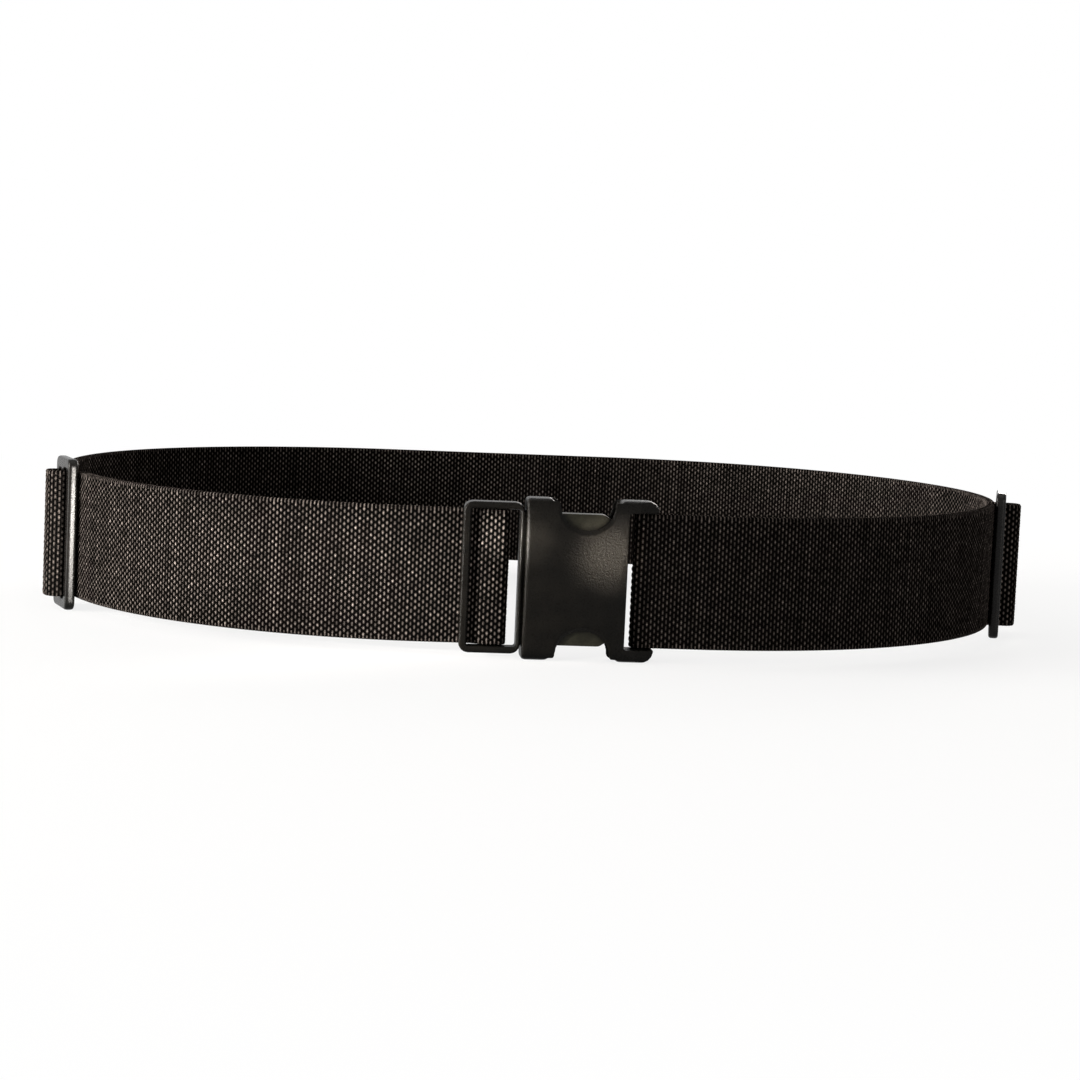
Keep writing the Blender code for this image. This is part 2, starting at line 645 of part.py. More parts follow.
def make_plug(material, collection, cutters, plug_pivot):
    """The half that enters the socket: a frame with a bar for webbing, a shoulder and a tongue."""
    outer = rectangle(PLUG_LEFT, PLUG_RIGHT, -PLUG_HALF, PLUG_HALF, PLUG_CORNER)
    window = rectangle(PLUG_WINDOW_LEFT, PLUG_WINDOW_RIGHT, -SLOT_HALF, SLOT_HALF, PLUG_EDGE_ROUND)
    lift = Matrix.Translation((0, 0, BUCKLE_MID_OFFSET))
    plug = prism("buckle_plug", [outer, window], PLUG_THICKNESS / 2, collection, lift, PLUG_EDGE_ROUND)
    strap_way = block(
        "strap_way",
        (PLUG_LEFT - REACH, -SLOT_HALF - SEAT_GAP, PLUG_BACK - REACH),
        (PLUG_WINDOW_LEFT + PLUG_EDGE_ROUND, SLOT_HALF + SEAT_GAP, PLUG_RAIL_BACK),
        cutters,
    )
    tongue = prism("plug_tongue", [plug_tongue()], INSERT_DEPTH / 2, cutters, lift)
    bar = webbing_bar("plug_bar", PLUG_BAR_LEFT, PLUG_BAR_RIGHT, PLUG_BAR_OFFSET, cutters)
    steps = ((strap_way, "DIFFERENCE"), (tongue, "UNION"), (bar, "UNION"))
    for helper, operation in steps:
        on_buckle(helper, plug_pivot)
        combine(plug, helper, operation)
    plug.data.materials.append(material)
    on_buckle(plug, plug_pivot)


def latch_x(height):
    """Place of the latch face, pressed in, at a height over the pivot: upright once the catch swings out."""
    swing = math.radians(CATCH_SWING)
    reach = WINDOW_LEFT + SEAT_GAP - PIVOT_X
    rise = (height + reach * math.sin(swing)) / math.cos(swing)
    return reach * math.cos(swing) + rise * math.sin(swing)


def catch_outline():
    """Outline of the upper catch round its pivot: root, arm, latch face, finger pad and slim tip."""
    root = CATCH_ROOT_RADIUS
    arm_top = CATCH_WIDTH * 0.42
    pad_low = CATCH_WIDTH * 0.14
    tip_low = CATCH_WIDTH * 0.40
    tip_high = CATCH_WIDTH * 0.62
    slim = CATCH_LENGTH - CATCH_WIDTH * 0.8
    blunt = CATCH_LENGTH - CATCH_WIDTH * 0.6
    root_arc = arc((0, 0), root, CATCH_ARM_SPREAD, 360 - CATCH_ARM_SPREAD)
    return rounded(
        [(x, y, 0) for x, y in root_arc]
        + [
            (latch_x(CATCH_WIDTH), pad_low / 2, root),
            (slim, pad_low, root),
            (CATCH_LENGTH, tip_low, root / 4),
            (CATCH_LENGTH, tip_high, root / 3),
            (blunt, CATCH_WIDTH, root),
            (latch_x(CATCH_WIDTH), CATCH_WIDTH, root / 8),
            (latch_x(arm_top), arm_top, root / 4),
        ]
    )


def make_catch(label, sign, material, collection, plug_pivot):
    """A catch of the plug on its own pivot. It is drawn pressed in and swings outward to lock."""
    outline = [(x, sign * y) for x, y in catch_outline()]
    lift = Matrix.Translation((0, 0, BUCKLE_MID_OFFSET))
    half_depth = INSERT_DEPTH / 2 - SEAT_GAP
    catch = prism(label + "_catch", [outline], half_depth, collection, lift, CATCH_EDGE_ROUND)
    catch.data.materials.append(material)
    on_buckle(catch, plug_pivot, PIVOT_X, sign * PIVOT_HEIGHT)


def build():
    """Make every piece of the belt."""
    clear_scene()
    belt = new_collection("weight_belt")
    cutters = new_collection("cutters")
    fabric = principled("black_webbing", (0.022, 0.021, 0.021), 0.85)
    shell = principled("buckle_plastic", (0.030, 0.029, 0.028), 0.50)
    glide = principled("slide_plastic", (0.022, 0.022, 0.022), 0.38)
    plug_pivot = pivot("plug_side_pivot", (MOUTH_X, FRONT_Y, MID_HEIGHT), belt)
    make_back_webbing(fabric, belt)
    make_front_webbing(fabric, belt, plug_pivot)
    make_socket(shell, belt, cutters)
    make_plug(shell, belt, cutters, plug_pivot)
    for label, sign in (("upper", 1), ("lower", -1)):
        make_catch(label, sign, shell, belt, plug_pivot)
    for label, side, parent in (("left", -1, plug_pivot), ("right", 1, None)):
        bend_center = (side * FLAT_HALF, RING_Y, MID_HEIGHT)
        slide_pivot = pivot(label + "_slide_pivot", bend_center, belt, parent)
        make_slide_webbing(side, label, fabric, belt, parent)
        make_slide(side, label, glide, belt, slide_pivot)


build()
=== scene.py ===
"""Looks of the waist belt: woven webbing, moulded buckle and slides, studio light, floor and camera.

Metres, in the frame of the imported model. Along the webbing, "run" is the distance from the middle of
the front and "offset" is the distance outward from the mid-surface of the running strap.
"""

import json
import math

import bmesh
import bpy
import numpy as np
from mathutils import Matrix, Vector


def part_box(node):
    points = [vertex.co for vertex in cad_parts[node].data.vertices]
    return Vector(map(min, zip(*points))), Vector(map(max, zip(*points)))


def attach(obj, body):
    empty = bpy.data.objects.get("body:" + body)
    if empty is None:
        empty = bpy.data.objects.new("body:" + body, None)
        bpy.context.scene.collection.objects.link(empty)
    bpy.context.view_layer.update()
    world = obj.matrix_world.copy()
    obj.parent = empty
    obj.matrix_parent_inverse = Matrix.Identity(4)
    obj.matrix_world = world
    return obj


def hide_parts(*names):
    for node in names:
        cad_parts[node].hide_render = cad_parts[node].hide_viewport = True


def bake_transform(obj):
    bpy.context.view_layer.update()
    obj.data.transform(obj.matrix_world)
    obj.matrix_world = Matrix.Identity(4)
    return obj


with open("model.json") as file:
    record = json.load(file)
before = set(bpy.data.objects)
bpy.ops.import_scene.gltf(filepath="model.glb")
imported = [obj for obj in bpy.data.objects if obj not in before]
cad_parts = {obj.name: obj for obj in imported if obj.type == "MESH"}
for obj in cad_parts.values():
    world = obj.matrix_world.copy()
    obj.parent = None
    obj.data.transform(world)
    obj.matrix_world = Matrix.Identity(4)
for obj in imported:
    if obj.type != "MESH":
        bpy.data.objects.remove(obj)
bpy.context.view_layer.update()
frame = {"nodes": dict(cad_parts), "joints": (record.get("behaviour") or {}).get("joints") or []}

# The strap's loop, read from the frame: flat in front and behind, with a half circle at each side
joints = {joint["name"]: joint for joint in frame["joints"]}
bend_center = Vector(joints["right_slide_adjust"]["pos_m"])
strap_low, strap_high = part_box("back_webbing")
WEBBING_WIDTH = strap_high.z - strap_low.z
WEBBING_THICKNESS = 0.0016
MID_HEIGHT = (strap_high.z + strap_low.z) / 2
FLAT_HALF = bend_center.x
RING_Y = bend_center.y
BEND_RADIUS = strap_high.y - RING_Y - WEBBING_THICKNESS / 2
BEND_RUN = math.pi * BEND_RADIUS
HALF_LOOP = 2 * FLAT_HALF + BEND_RUN
FRONT_Y = RING_Y - BEND_RADIUS

# The strap's two layers, its free ends, and how far from a bar of the buckle the inner layer has settled
LAYER_PITCH = 0.0019
TAIL_LENGTH = 0.045
STRAP_EASE = 0.018

# The slides, and the hump that the strap makes over their bars: the round of its crest, the fillet at its
# foot, and half of its length
SLIDE_ANGLE = 75
SLIDE_RUN = FLAT_HALF + BEND_RADIUS * math.radians(SLIDE_ANGLE)
HUMP_CREST_RUN = 0.00135
HUMP_CREST_OFFSET = 0.0067
HUMP_CREST_RADIUS = 0.0020
HUMP_FILLET_RUN = 0.00715
HUMP_FILLET = 0.0019
HUMP_HALF = 0.0090
FOOT_RUN = SLIDE_RUN - HUMP_HALF
REAR_RUN = SLIDE_RUN + HUMP_HALF

# The bars of the buckle: nearest and farthest run, offset, and the run where the outer layer has settled
BAR_RADIUS = 0.0018
BAR_WRAP_RADIUS = 0.0029
PLUG_BAR = {"near": 0.0248, "far": 0.0315, "offset": -0.0003, "settled": 0.0374}
SOCKET_BAR = {"near": 0.0252, "far": 0.0319, "offset": -0.0029, "settled": 0.0366}

# How finely the strap's route is drawn, and when two of its places count as one
ROUTE_STEP = 0.0005
EASE_STEPS = 32
ARC_STEPS = 24
SAME_PLACE = 1e-7

# Where the strap is cut into lengths that bend or ride by themselves, reckoned from the slide, and where
# its front starts to bend, reckoned from the end of the flat stretch
REAR_REACH = 0.085
SIDE_REACH = 0.205
REAR_CUT_RUN = SLIDE_RUN + REAR_REACH
SIDE_CUT_RUN = SLIDE_RUN + SIDE_REACH

# The weave: picks along the strap, rows of yarn across it, a point at the middle of each crossing, and
# points half way to the next pick, to the next row and to both
ROWS = 42
PICK_PITCH = 0.00143
POINT_PITCH = PICK_PITCH / 2
LINE_COUNT = 2 * ROWS + 1
RING_COUNT = 2 * LINE_COUNT
WEAVE_HALF_THICKNESS = 0.00062
WEAVE_SEED = 7

# How far the yarn stands out, and the share of that at a crossing where it passes over or under, between
# picks, between rows and between both. Yarns and picks differ a little from each other.
YARN_RISE = 0.00023
MIDDLE_OVER = 1.0
MIDDLE_UNDER = -0.45
BETWEEN_PICKS = -0.30
BETWEEN_ROWS = 0.58
BETWEEN_BOTH = -0.50
YARN_RISE_SPREAD = 0.16
PICK_RISE_SPREAD = 0.09

# The bound edges of the webbing: lines of binding yarn, and the round of the edge with what is left there
# of the half thickness
SELVEDGE_LINES = 3
SELVEDGE_RISE = 0.80
EDGE_ROUND = 0.0009
EDGE_SHARE = 0.35

# The flat map of a length of webbing: bands with a margin, and above them a strip for each cut end
BAKE_MAP = "OFBake"
BAND_TOP = 0.96
BAND_MARGIN = 0.005
START_STRIP = 0.965
END_STRIP = 0.980
STRIP_HEIGHT = 0.01

# The front of the socket's plate: where it starts and ends to fall away, how far there and towards its upper
# and lower edges, and the offset of its inner and its outer face
socket_low, socket_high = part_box("buckle_socket")
FALL_START = 0.001
FALL_END = 0.0205
FALL_DROP = 0.0011
CROWN_DROP = 0.0009
SOCKET_SKIN = 0.0057
SOCKET_FRONT = FRONT_Y - socket_low.y
SOCKET_HALF_HEIGHT = socket_high.z - MID_HEIGHT

# The moulded pieces: when two corners count as one, how much a smoothing pass moves a point, and for each
# piece its name, node, body, plastic, voxel and smoothing passes
WELD_DISTANCE = 1e-6
SMOOTHING = 0.5
HARDWARE = (
    ("socket_shell", "buckle_socket", "belt", "buckle_plastic", 0.00035, 9),
    ("plug_frame", "buckle_plug", "plug_side", "buckle_plastic", 0.00030, 5),
    ("upper_catch_arm", "upper_catch", "upper_catch", "catch_plastic", 0.00025, 5),
    ("lower_catch_arm", "lower_catch", "lower_catch", "catch_plastic", 0.00025, 5),
    ("left_tri_glide", "left_slide", "left_slide", "slide_plastic", 0.00025, 18),
    ("right_tri_glide", "right_slide", "right_slide", "slide_plastic", 0.00025, 18),
)

# Ranges that the materials share: the whole share, and the part of a noise that most of it lies in
FULL = (0, 1)
NOISE_MIDDLE = (0.3, 0.7)

# The yarn: painted shade in the pits and a painted sheen on the floats, how the relief turns into that
# sheen, marks to the metre along and across the strap for its tone and its filaments, and how far the marks
# on the inner face are set off
PAINTED_PIT_SHADE = (0.0012, 0.0011, 0.0010)
YARN_SHEEN_DARK = (0.145, 0.1250, 0.1142)
YARN_SHEEN_LIGHT = (0.310, 0.2672, 0.2440)
SHEEN_RELIEF = (-0.25, 1.3)
SHEEN_CONTRAST = 2.3
TONE_MARKS = (150, 420, 1)
FILAMENT_MARKS = (500, 9000, 1)
YARN_DETAIL = 2.0
YARN_ROUGHNESS = (0.58, 0.76)
FILAMENT_STRENGTH = 0.35
FILAMENT_DEPTH = 0.00005
INNER_FACE_SHIFT = 0.1

# The plastics: two tones, roughness, size and strength of the grain, and gloss
PLASTICS = {
    "buckle_plastic": {
        "dark": (0.0027, 0.0024, 0.0019),
        "light": (0.0044, 0.0039, 0.0031),
        "rough": 0.29,
        "grain_size": 0.0007,
        "grain": 1.0,
        "gloss": 0.06,
    },
    "catch_plastic": {
        "dark": (0.012, 0.0118, 0.0077),
        "light": (0.028, 0.0272, 0.0187),
        "rough": 0.36,
        "grain_size": 0.0007,
        "grain": 1.0,
        "gloss": 0.08,
    },
    "slide_plastic": {
        "dark": (0.0045, 0.0042, 0.0038),
        "light": (0.0070, 0.0065, 0.0058),
        "rough": 0.26,
        "grain_size": 0.0006,
        "grain": 0.12,
        "gloss": 0.12,
    },
}

# What the plastics share: mottling, grain, painted shade in nooks that the light hardly reaches, and worn
# edges, which are smoother, nearly without grain and paler, the paleness partly wear and partly a painted
# highlight
MOTTLE_SCALE = 160.0
MOTTLE_DETAIL = 4.0
MOTTLE_MIDDLE = (0.35, 0.65)
GRAIN_DETAIL = 3.0
GRAIN_HARSHNESS = 0.65
GRAIN_DEPTH = 0.00022
ROUGH_LESS = 0.06
ROUGH_MORE = 0.08
PAINTED_NOOK_SHADE = (0.0006, 0.0006, 0.0005)
NOOK_REACH = 0.006
NOOK_SAMPLES = 8
NOOK_OPENNESS = (0.45, 0.95)
NOOK_SHARE = (0.1, 1)
WEAR_AND_HIGHLIGHT_POINTINESS = (0.52, 0.57)
WEAR_AND_HIGHLIGHT_PALE = 1.5
WORN_ROUGH = 0.7
WORN_GRAIN = 0.1

# The floor: its size and colour, the distances from the middle that its glow rises between, and that glow
WHITE = (1, 1, 1)
FLOOR_HALF_WIDTH = 6.0
FLOOR_SEGMENTS = 8
FLOOR_COLOR = (0.86, 0.86, 0.86)
FLOOR_REACH = (0.15, 0.75)
FLOOR_GLOW = (0.78, 1)

# The surroundings as light: the side that they are bright on, how far towards it they start and end to
# brighten, and their least and greatest strength
BRIGHT_SIDE = (-0.75, 0.65, 0.10)
BRIGHT_TURN = (0.12, 0.9)
BRIGHT_LEVELS = (0.06, 1.00)

# Soft boxes that face the belt: name, place, width and power
WARM = (1.0, 0.95, 0.89)
SOFT_BOX_TARGET = (0, 0, 0.03)
SOFT_BOXES = (
    ("key_left", (-1.50, -0.13, 0.25), 0.5, 50.0),
    ("left_fill", (-1.20, -0.56, 0.28), 0.3, 7.0),
    ("front_fill", (0.42, -1.20, 0.12), 0.25, 2.0),
    ("back_fill", (0.65, 1.15, 0.45), 0.5, 14.0),
    ("overhead", (0.0, -0.4, 1.5), 1.0, 5.0),
)

# Narrow spots with soft edges: name, place, target, angle in degrees, radius of the lamp, power and tint
AMBER = (1.0, 0.88, 0.72)
SPOTS = (
    ("strap_spot", (-1.02, -0.86, 0.25), (-0.068, FRONT_Y, MID_HEIGHT), 4.7, 0.03, 310.0, WARM),
    ("buckle_spot", (0.40, -1.25, 0.22), (0.0110, FRONT_Y, 0.039), 1.35, 0.006, 230.0, AMBER),
    ("slide_spot", (0.40, -1.25, 0.03), (-0.188, -0.033, MID_HEIGHT), 3.0, 0.008, 320.0, WARM),
    ("mouth_spot", (-1.00, -0.90, 0.05), (-0.0135, FRONT_Y, 0.045), 0.58, 0.005, 900.0, WARM),
)

# The camera, fitted to the photograph: angles in degrees round the middle of the loop, lens and sensor in
# millimetres
CAMERA_AZIMUTH = -6.2
CAMERA_ELEVATION = 5.8
CAMERA_ROLL = 2.6
CAMERA_DISTANCE = 1.20
CAMERA_TARGET = Vector((-0.003, -0.060, 0.036))
CAMERA_LENS = 95.55
CAMERA_SENSOR = 36.0
CAMERA_NEAREST = 0.01
CAMERA_FARTHEST = 100.0


def linked(obj):
    """Put a new object into the scene."""
    bpy.context.scene.collection.objects.link(obj)
    return obj


# Route of the strap

def straight(start, end, offset):
    """Route places at one offset, about a step apart."""
    count = max(2, round(abs(end - start) / ROUTE_STEP))
    return [(run, offset) for run in np.linspace(start, end, count + 1)]


def eased(start, end, start_offset, end_offset):
    """Route places along a smooth change of offset."""
    shares = np.linspace(0, 1, EASE_STEPS + 1)
    rise = end_offset - start_offset
    return [(start + (end - start) * t, start_offset + rise * t * t * (3 - 2 * t)) for t in shares]


def bent(center, radius, start, end):
    """Route places on a circular arc between two angles, in degrees."""
    angles = np.radians(np.linspace(start, end, ARC_STEPS + 1))
    return [(center[0] + radius * math.cos(a), center[1] + radius * math.sin(a)) for a in angles]


def hump(layer):
    """Over the bar of a slide. Layer 0 is the tail that lies on the bar, layer 1 the strap over it."""
    crest_center = (-HUMP_CREST_RUN, HUMP_CREST_OFFSET)
    crest = bent(crest_center, HUMP_CREST_RADIUS + layer * LAYER_PITCH, 180, 90)
    fillet_center = (-HUMP_FILLET_RUN, HUMP_FILLET)
    fillet = bent(fillet_center, HUMP_FILLET + (1 - layer) * LAYER_PITCH, 270, 360)
    front_half = [(-HUMP_HALF, (layer - 1) * LAYER_PITCH)] + fillet + crest
    rear_half = [(-along, out) for along, out in reversed(front_half)]
    return [(SLIDE_RUN + along, out) for along, out in front_half + rear_half]


def half_route(bar):
    """One half of the strap: tail, hump, inner layer, round the bar, outer layer, hump, on to the back."""
    near = bar["near"] + BAR_RADIUS
    far = bar["far"] - BAR_RADIUS
    inner_settled = far + STRAP_EASE
    return (
        straight(REAR_RUN + TAIL_LENGTH, REAR_RUN, -LAYER_PITCH)
        + list(reversed(hump(0)))
        + straight(FOOT_RUN, inner_settled, -LAYER_PITCH)
        + eased(inner_settled, far, -LAYER_PITCH, bar["offset"] - BAR_WRAP_RADIUS)
        + bent((near, bar["offset"]), BAR_WRAP_RADIUS, 270, 90)
        + eased(far, bar["settled"], bar["offset"] + BAR_WRAP_RADIUS, 0)
        + straight(bar["settled"], FOOT_RUN, 0)
        + hump(1)
        + straight(REAR_RUN, HALF_LOOP, 0)
    )


def ring_points(side, places):
    """Plan points of route places on one side of the loop: -1 is the left side, 1 the right one."""
    run, offset = np.array(places).T
    radius = BEND_RADIUS + offset
    turned = np.clip(run - FLAT_HALF, 0, BEND_RUN) / BEND_RADIUS
    level = np.minimum(run, FLAT_HALF) - np.maximum(run - FLAT_HALF - BEND_RUN, 0)
    x = level + radius * np.sin(turned)
    y = RING_Y - radius * np.cos(turned)
    return np.stack([side * x, y], 1)


def step_lengths(points):
    """Distance from each point to the next."""
    return np.linalg.norm(np.diff(points, axis=0), axis=1)


def strap_columns():
    """The strap from the left tail to the right one in equal steps: plan points, normals, lengths, runs."""
    left = half_route(PLUG_BAR)
    right = half_route(SOCKET_BAR)
    points = np.concatenate([ring_points(-1, left), ring_points(1, right)[::-1]])
    runs = np.array(left + right[::-1])[:, 0]
    kept = np.concatenate([[True], step_lengths(points) > SAME_PLACE])
    points, runs = points[kept], runs[kept]
    length = np.concatenate([[0], np.cumsum(step_lengths(points))])
    stations = np.arange(0, length[-1], POINT_PITCH)
    plan = np.stack([np.interp(stations, length, points[:, i]) for i in (0, 1)], 1)
    tangent = np.gradient(plan, axis=0)
    tangent /= np.linalg.norm(tangent, axis=1, keepdims=True)
    normal = np.stack([tangent[:, 1], -tangent[:, 0]], 1)
    return {"plan": plan, "normal": normal, "station": stations, "run": np.interp(stations, length, runs)}


# Weave

def weave_relief(column_count, face):
    """Rise of the yarn at each column and line of a face. Odd columns lie on picks, odd lines on rows."""
    chance = np.random.default_rng(WEAVE_SEED + face)
    columns = np.arange(column_count)[:, None]
    lines = np.arange(LINE_COUNT)[None, :]
    pick, row = columns // 2, lines // 2
    passes_over = (pick + row) % 2 == face
    uneven = 1 + YARN_RISE_SPREAD * chance.standard_normal((column_count, LINE_COUNT))
    uneven = uneven + PICK_RISE_SPREAD * chance.standard_normal(column_count)[pick]
    crossing = np.where(passes_over, MIDDLE_OVER * uneven, MIDDLE_UNDER)
    on_pick, on_row = columns % 2 == 1, lines % 2 == 1
    places = [on_pick & on_row, on_row, on_pick]
    rise = np.select(places, [crossing, BETWEEN_PICKS, BETWEEN_ROWS * uneven], BETWEEN_BOTH)
    from_edge = np.minimum(lines, LINE_COUNT - 1 - lines)
    binding = SELVEDGE_RISE * (2 * (columns % 2) - 1) * uneven
    return np.where(from_edge < SELVEDGE_LINES, binding, rise)


# The strip that every length of webbing is cut from, with the relief of its outer and its inner face
strap = strap_columns()
relief = [weave_relief(len(strap["run"]), face) for face in (0, 1)]
line_heights = np.linspace(-WEBBING_WIDTH / 2, WEBBING_WIDTH / 2, LINE_COUNT)


def column_at(side, layer, run):
    """Number of the column at a run on one side of the loop, in the strap's outer layer or its inner one."""
    runs = strap["run"]
    numbers = np.arange(len(runs))
    back_middle = runs.argmax()
    half = numbers < back_middle if side < 0 else numbers >= back_middle
    bar_column = np.where(half, runs, np.inf).argmin()
    outer = numbers >= bar_column if side < 0 else numbers <= bar_column
    wanted = half & (outer if layer == "outer" else ~outer)
    return int(np.where(wanted, np.abs(runs - run), np.inf).argmin())


def section_half_thickness():
    """Half thickness of the webbing at each line, round towards both edges."""
    inside = np.clip((WEBBING_WIDTH / 2 - np.abs(line_heights)) / EDGE_ROUND, 0, 1)
    return WEAVE_HALF_THICKNESS * (EDGE_SHARE + (1 - EDGE_SHARE) * np.sqrt(1 - (1 - inside) ** 2))


def woven_points(picked):
    """Points of a length of webbing: at each column a ring, up the outer face and down the inner one."""
    plan, normal = strap["plan"][picked], strap["normal"][picked]
    half = section_half_thickness()
    faces = []
    for face, sign, lines in ((0, 1, slice(None)), (1, -1, slice(None, None, -1))):
        offset = sign * (half + YARN_RISE * relief[face][picked])[:, lines]
        xy = plan[:, None, :] + normal[:, None, :] * offset[:, :, None]
        z = np.broadcast_to(MID_HEIGHT + line_heights[lines], offset.shape)
        faces.append(np.concatenate([xy, z[:, :, None]], 2))
    return np.concatenate(faces, 1)


def corner_order(column_steps):
    """Order of each side quad's corners: neighbours start a corner apart, so that their splits meet."""
    step, line = np.divmod(np.arange(column_steps * RING_COUNT), RING_COUNT)
    on_inner_face = line >= LINE_COUNT
    turned = (step + line + on_inner_face) % 2
    return (np.arange(4)[None, :] + turned[:, None]) % 4


def woven_quads(column_count):
    """Corner numbers of the quads of a length of webbing: its sides, then its two cut ends."""
    numbers = np.arange(column_count * RING_COUNT).reshape(column_count, RING_COUNT)
    after = np.roll(numbers, -1, axis=1)
    sides = np.stack([numbers[:-1], numbers[1:], after[1:], after[:-1]], 2).reshape(-1, 4)
    sides = np.take_along_axis(sides, corner_order(column_count - 1), 1)
    up = np.arange(LINE_COUNT - 1)
    down = RING_COUNT - 1 - up
    start = np.stack([numbers[0][line] for line in (up, up + 1, down - 1, down)], 1)
    end = np.stack([numbers[-1][line] for line in (up, down, down - 1, up + 1)], 1)
    return np.concatenate([sides, start, end])


def mesh_from(name, points, quads):
    """A smooth mesh from points and from the corner numbers of its quads."""
    mesh = bpy.data.meshes.new(name)
    mesh.vertices.add(points.size // 3)
    mesh.vertices.foreach_set("co", points.astype(np.float32).ravel())
    mesh.loops.add(quads.size)
    mesh.loops.foreach_set("vertex_index", quads.astype(np.int32).ravel())
    mesh.polygons.add(len(quads))
    mesh.polygons.foreach_set("loop_start", np.arange(0, quads.size, 4, dtype=np.int32))
    mesh.update(calc_edges=True)
    mesh.shade_smooth()
    return mesh


def mark_cut_ends(mesh):
    """Keep the edges of both cut ends sharp, so that the next length carries on without a line."""
    pairs = np.empty(2 * len(mesh.edges), dtype=np.int32)
    mesh.edges.foreach_get("vertices", pairs)
    pairs = pairs.reshape(-1, 2)
    last_ring = len(mesh.vertices) - RING_COUNT
    sharp = (pairs < RING_COUNT).all(1) | (pairs >= last_ring).all(1)
    mesh.attributes.new("sharp_edge", "BOOLEAN", "EDGE").data.foreach_set("value", sharp)


def bake_map(mesh, column_count):
    """A flat map of a woven length: the length folded into bands, and its two ends in strips above them."""
    columns, lines = column_count - 1, LINE_COUNT - 1
    bands = max(1, round(math.sqrt(columns * POINT_PITCH / (2 * WEBBING_WIDTH))))
    band_columns = math.ceil(columns / bands)
    step, line = np.divmod(np.arange(columns * RING_COUNT)[:, None], RING_COUNT)
    band, place = np.divmod(step, band_columns)
    corner_u, corner_v = np.array([(0, 0), (1, 0), (1, 1), (0, 1)]).T
    in_band = BAND_MARGIN + (1 - 2 * BAND_MARGIN) * (line + corner_v) / RING_COUNT
    order = corner_order(columns)
    side_u = np.take_along_axis((place + corner_u) / band_columns, order, 1)
    side_v = np.take_along_axis((band + in_band) / bands * BAND_TOP, order, 1)
    end_u = (np.arange(lines)[:, None] + corner_u) / lines
    strips = [np.tile(base + STRIP_HEIGHT * corner_v, (lines, 1)) for base in (START_STRIP, END_STRIP)]
    u = np.concatenate([side_u, end_u, end_u])
    v = np.concatenate([side_v, *strips])
    layer = mesh.uv_layers.new(name=BAKE_MAP)
    layer.data.foreach_set("uv", np.stack([u, v], 2).astype(np.float32).ravel())


def add_strand(mesh, picked):
    """Write where each point lies in the weave, for the material: its place and its rise."""
    station = strap["station"][picked][:, None]
    outer = np.stack(np.broadcast_arrays(station, line_heights, 0.0), 2)
    inner = np.stack(np.broadcast_arrays(station, line_heights[::-1], INNER_FACE_SHIFT), 2)
    place = mesh.attributes.new("strand", "FLOAT_VECTOR", "POINT")
    place.data.foreach_set("vector", np.concatenate([outer, inner], 1).astype(np.float32).ravel())
    rise = np.concatenate([relief[0][picked], relief[1][picked][:, ::-1]], 1)
    level = mesh.attributes.new("relief", "FLOAT", "POINT")
    level.data.foreach_set("value", rise.astype(np.float32).ravel())


def woven(name, ends, material):
    """A closed length of webbing between two columns of the strap, with its yarns as relief."""
    first, last = sorted(ends)
    picked = slice(first, last + 1)
    column_count = last + 1 - first
    mesh = mesh_from(name, woven_points(picked), woven_quads(column_count))
    mark_cut_ends(mesh)
    bake_map(mesh, column_count)
    add_strand(mesh, picked)
    mesh.materials.append(material)
    obj = linked(bpy.data.objects.new(name, mesh))
    return obj


# Materials

class Tree:
    """The nodes of a material or of the world, with short calls to add and join them."""

    def __init__(self, owner):
        owner.use_nodes = True
        self.nodes = owner.node_tree.nodes
        self.links = owner.node_tree.links

    def add(self, kind, settings=None, **inputs):
        """A new node with settings on it, and with its inputs filled."""
        node = self.nodes.new(kind)
        for key, value in (settings or {}).items():
            setattr(node, key, value)
        self.fill(node, **inputs)
        return node

    def fill(self, node, **inputs):
        """Values on a node's inputs, or links from other nodes' outputs. A low line stands for a space."""
        for key, value in inputs.items():
            self.join(value, node.inputs[key.replace("_", " ")])

    def join(self, value, socket):
        """Link an output to a socket, or set a value on it. A colour comes as red, green and blue."""
        if isinstance(value, bpy.types.NodeSocket):
            self.links.new(value, socket)
        elif socket.type == "RGBA":
            socket.default_value = (*value, 1.0)
        else:
            socket.default_value = value

    def noise(self, vector, scale, detail, roughness=0.5):
        """Noise from 0 to 1."""
        node = self.add("ShaderNodeTexNoise", Vector=vector, Scale=scale, Detail=detail, Roughness=roughness)
        return node.outputs["Fac"]

    def mapped(self, vector, scale):
        """A vector stretched along its axes."""
        return self.add("ShaderNodeMapping", Vector=vector, Scale=scale).outputs["Vector"]

    def ranged(self, value, source, target):
        """A value moved from one range to another, and kept inside it."""
        node = self.add("ShaderNodeMapRange", Value=value)
        self.fill(node, From_Min=source[0], From_Max=source[1], To_Min=target[0], To_Max=target[1])
        return node.outputs["Result"]

    def mixed(self, share, first, second):
        """A colour between two colours."""
        node = self.add("ShaderNodeMix", {"data_type": "RGBA"}, Factor=share)
        colors = [socket for socket in node.inputs if socket.type == "RGBA"]
        self.join(first, colors[0])
        self.join(second, colors[1])
        return next(socket for socket in node.outputs if socket.type == "RGBA")

    def math(self, operation, first, second):
        """A product, power or other operation on two values."""
        node = self.add("ShaderNodeMath", {"operation": operation})
        self.join(first, node.inputs[0])
        self.join(second, node.inputs[1])
        return node.outputs["Value"]

    def bump(self, height, strength, distance):
        """A normal that follows a height."""
        node = self.add("ShaderNodeBump", Height=height, Strength=strength, Distance=distance)
        return node.outputs["Normal"]


